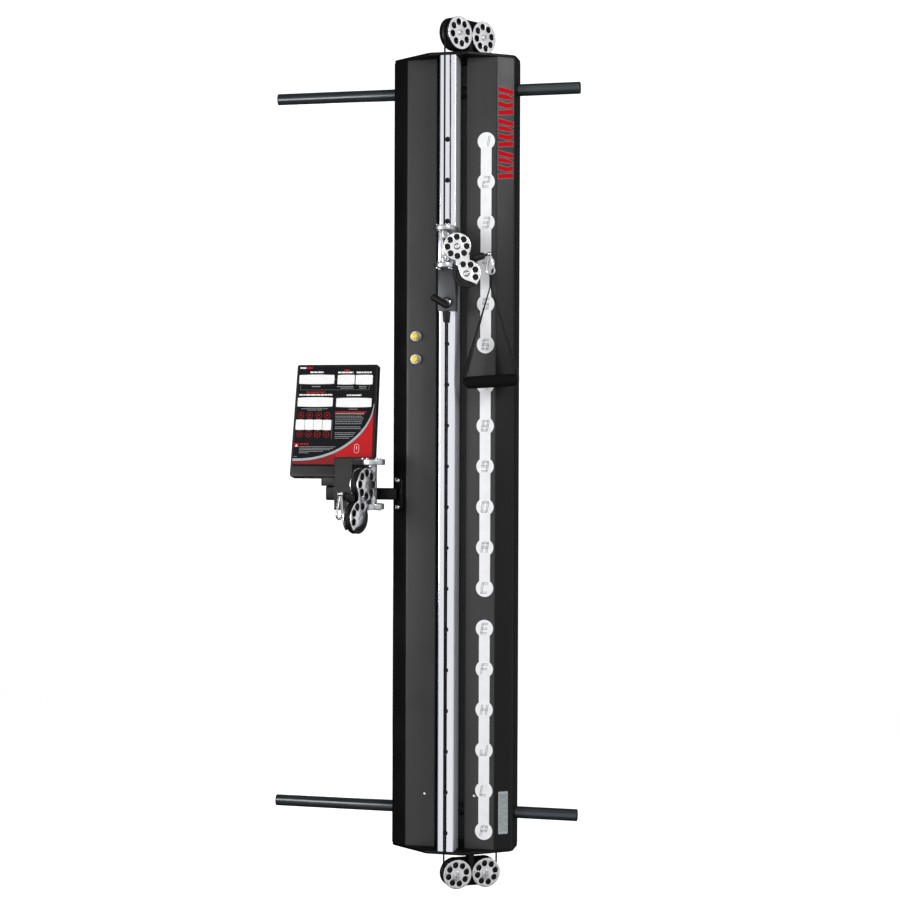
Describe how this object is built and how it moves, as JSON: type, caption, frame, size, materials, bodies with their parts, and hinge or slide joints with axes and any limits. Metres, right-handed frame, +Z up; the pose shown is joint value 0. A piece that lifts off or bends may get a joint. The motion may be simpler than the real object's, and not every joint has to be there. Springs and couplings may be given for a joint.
{
  "type": "cable crossover machine",
  "caption": "Tall bar-hung cable column: chamfered housing, front rail with sliding swivel pulley head and handle, end pulleys, side console arm with spare head",
  "frame": {"origin": "centre of the back plate's rear face, where the column bears on its rack or wall", "axes": "+Z up along the rail, -Y towards the user, +X to the user's right"},
  "size_m": [0.843, 0.3648, 2.297],
  "materials": {
    "black_paint": "satin black powder coat",
    "panel_paint": "dark grey textured powder coat",
    "rail_chrome": "polished chrome",
    "bar_paint": "semi-gloss dark grey-blue paint",
    "plate_aluminium": "satin machined aluminium",
    "sleeve_paint": "satin graphite paint",
    "wheel_plastic": "matt moulded nylon",
    "cable_jacket": "smooth black nylon jacket over steel cable",
    "stop_rubber": "matt black rubber",
    "handle_plastic": "fine-textured black plastic",
    "console_face": "printed polyester overlay",
    "steel": "plated steel",
    "webbing": "woven nylon webbing",
    "grip_foam": "soft black foam rubber",
    "button_yellow": "semi-gloss yellow plastic"
  },
  "bodies": {
    "root": {"back_plate": "black_paint", "left_shell": "panel_paint", "right_shell": "panel_paint", "rail": "rail_chrome", "top_cap": "black_paint", "bottom_cap": "black_paint", "upper_cross_bar": "bar_paint", "lower_cross_bar": "bar_paint", "top_bracket": "black_paint", "top_front_guard": "plate_aluminium", "top_rear_guard": "plate_aluminium", "bottom_bracket": "black_paint", "bottom_front_guard": "plate_aluminium", "bottom_rear_guard": "plate_aluminium", "top_cable_bend": "cable_jacket", "bottom_cable_bend": "cable_jacket", "upper_cable": "cable_jacket", "lower_cable": "cable_jacket", "inner_cable": "cable_jacket", "air_cylinder": "plate_aluminium", "console_housing": "handle_plastic", "console_overlay": "console_face", "console_arm": "black_paint", "arm_post": "black_paint", "arm_upper_flange": "plate_aluminium", "arm_lower_flange": "plate_aluminium", "upper_button_collar": "steel", "lower_button_collar": "steel"},
    "carriage": {"carriage_upper_flange": "plate_aluminium", "carriage_lower_flange": "plate_aluminium", "carriage_body": "plate_aluminium", "carriage_sleeve": "sleeve_paint", "pin_collar": "steel", "cable_boot": "stop_rubber"},
    "pull_pin": {"pull_pin": "handle_plastic"},
    "head": {"head_yoke": "plate_aluminium", "head_front_plate": "plate_aluminium", "head_rear_plate": "plate_aluminium", "head_cable": "cable_jacket"},
    "head_upper_wheel": {"head_upper_sheave": "wheel_plastic"},
    "head_lower_wheel": {"head_lower_sheave": "wheel_plastic"},
    "head_end": {"head_stop": "stop_rubber"},
    "handle": {"head_hook": "steel", "handle_strap": "webbing"},
    "gate": {"hook_gate": "steel"},
    "grip": {"handle_grip": "grip_foam"},
    "arm_head": {"arm_head_yoke": "plate_aluminium", "arm_head_front_plate": "plate_aluminium", "arm_head_rear_plate": "plate_aluminium"},
    "arm_upper_wheel": {"arm_head_upper_sheave": "wheel_plastic"},
    "arm_lower_wheel": {"arm_head_lower_sheave": "wheel_plastic"},
    "arm_end": {"arm_head_stop": "stop_rubber"},
    "arm_hook": {"arm_head_hook": "steel"},
    "top_front_wheel": {"top_front_sheave": "wheel_plastic"},
    "top_rear_wheel": {"top_rear_sheave": "wheel_plastic"},
    "bottom_front_wheel": {"bottom_front_sheave": "wheel_plastic"},
    "bottom_rear_wheel": {"bottom_rear_sheave": "wheel_plastic"},
    "upper_button": {"upper_button_cap": "button_yellow"},
    "lower_button": {"lower_button_cap": "button_yellow"},
    "ram": {"ram_rod": "steel"}
  },
  "joints": [
    {"name": "carriage_slide", "type": "slide", "parent": "root", "child": "carriage", "axis": [0, 0, 1], "range_m": [-1.4014, 0.4312], "deforming": ["upper_cable", "lower_cable"]},
    {"name": "pin_pull", "type": "slide", "parent": "carriage", "child": "pull_pin", "axis": [0, -1, 0], "range_m": [0, 0.012], "stiffness_N_per_m": 600, "springref_m": -0.004},
    {"name": "head_swivel", "type": "hinge", "parent": "carriage", "child": "head", "pos_m": [0, -0.186, 0.543], "axis": [0, 0, 1], "range_deg": [-186, 0.8]},
    {"name": "head_upper_spin", "type": "hinge", "parent": "head", "child": "head_upper_wheel", "pos_m": [0.03313, -0.17835, 0.543], "axis": [-0.225, 0.9744, 0], "continuous": true},
    {"name": "head_lower_spin", "type": "hinge", "parent": "head", "child": "head_lower_wheel", "pos_m": [0.057, -0.17284, 0.4722], "axis": [-0.225, 0.9744, 0], "continuous": true},
    {"name": "handle_pull", "type": "slide", "parent": "head", "child": "head_end", "axis": [0.9366, 0.2162, 0.2756], "range_m": [0, 1.2], "stiffness_N_per_m": 12, "springref_m": -0.8},
    {"name": "handle_swing", "type": "hinge", "parent": "head_end", "child": "handle", "pos_m": [0.11521, -0.1594, 0.5247], "axis": [0.225, -0.9744, 0], "range_deg": [0, 95]},
    {"name": "gate_open", "type": "hinge", "parent": "handle", "child": "gate", "pos_m": [0.11842, -0.15866, 0.5184], "axis": [-0.225, 0.9744, 0], "range_deg": [0, 16], "stiffness_Nm_per_rad": 0.05, "springref_deg": -11.46},
    {"name": "grip_spin", "type": "hinge", "parent": "handle", "child": "grip", "pos_m": [0.12082, -0.15811, 0.19125], "axis": [0.9724, 0.2245, 0.0643], "continuous": true},
    {"name": "arm_head_swivel", "type": "hinge", "parent": "root", "child": "arm_head", "pos_m": [-0.187, -0.212, -0.08], "axis": [0, 0, 1], "range_deg": [-28, 100]},
    {"name": "arm_upper_spin", "type": "hinge", "parent": "arm_head", "child": "arm_upper_wheel", "pos_m": [-0.20028, -0.25058, -0.08], "axis": [0.9455, -0.3256, 0], "continuous": true},
    {"name": "arm_lower_spin", "type": "hinge", "parent": "arm_head", "child": "arm_lower_wheel", "pos_m": [-0.20986, -0.27837, -0.16496], "axis": [0.9455, -0.3256, 0], "continuous": true},
    {"name": "arm_cable_pull", "type": "slide", "parent": "arm_head", "child": "arm_end", "axis": [-0.313, -0.9089, 0.2756], "range_m": [0, 1.2], "stiffness_N_per_m": 12, "springref_m": -0.8},
    {"name": "arm_hook_swing", "type": "hinge", "parent": "arm_end", "child": "arm_hook", "pos_m": [-0.2332, -0.34616, -0.10196], "axis": [-0.9455, 0.3256, 0], "range_deg": [0, 95]},
    {"name": "top_front_spin", "type": "hinge", "parent": "root", "child": "top_front_wheel", "pos_m": [0.02179, -0.15245, 1.1066], "axis": [0.8387, -0.5446, 0], "continuous": true},
    {"name": "top_rear_spin", "type": "hinge", "parent": "root", "child": "top_rear_wheel", "pos_m": [0.06999, -0.07823, 1.1066], "axis": [0.8387, -0.5446, 0], "continuous": true},
    {"name": "bottom_front_spin", "type": "hinge", "parent": "root", "child": "bottom_front_wheel", "pos_m": [0.02758, -0.1447, -1.1086], "axis": [0.5, -0.866, 0], "continuous": true},
    {"name": "bottom_rear_spin", "type": "hinge", "parent": "root", "child": "bottom_rear_wheel", "pos_m": [0.09686, -0.1047, -1.1086], "axis": [0.5, -0.866, 0], "continuous": true},
    {"name": "upper_button_press", "type": "slide", "parent": "root", "child": "upper_button", "axis": [0, 1, 0], "range_m": [0, 0.006], "stiffness_N_per_m": 500, "springref_m": -0.003},
    {"name": "lower_button_press", "type": "slide", "parent": "root", "child": "lower_button", "axis": [0, 1, 0], "range_m": [0, 0.006], "stiffness_N_per_m": 500, "springref_m": -0.003},
    {"name": "ram_travel", "type": "slide", "parent": "root", "child": "ram", "axis": [0, 0, 1], "range_m": [0, 0.3], "deforming": ["inner_cable"]}
  ],
  "couplings": [
    {"joint": "head_upper_spin", "follows": "handle_pull", "rad_per_m": 29.412},
    {"joint": "head_lower_spin", "follows": "handle_pull", "rad_per_m": -29.412},
    {"joint": "top_front_spin", "follows": "handle_pull", "rad_per_m": 25},
    {"joint": "top_rear_spin", "follows": "handle_pull", "rad_per_m": 25},
    {"joint": "ram_travel", "follows": "handle_pull", "ratio": 0.25},
    {"joint": "arm_upper_spin", "follows": "arm_cable_pull", "rad_per_m": 24.51},
    {"joint": "arm_lower_spin", "follows": "arm_cable_pull", "rad_per_m": -24.51},
    {"joint": "bottom_front_spin", "follows": "carriage_slide", "rad_per_m": 30.303},
    {"joint": "bottom_rear_spin", "follows": "carriage_slide", "rad_per_m": 30.303}
  ]
}
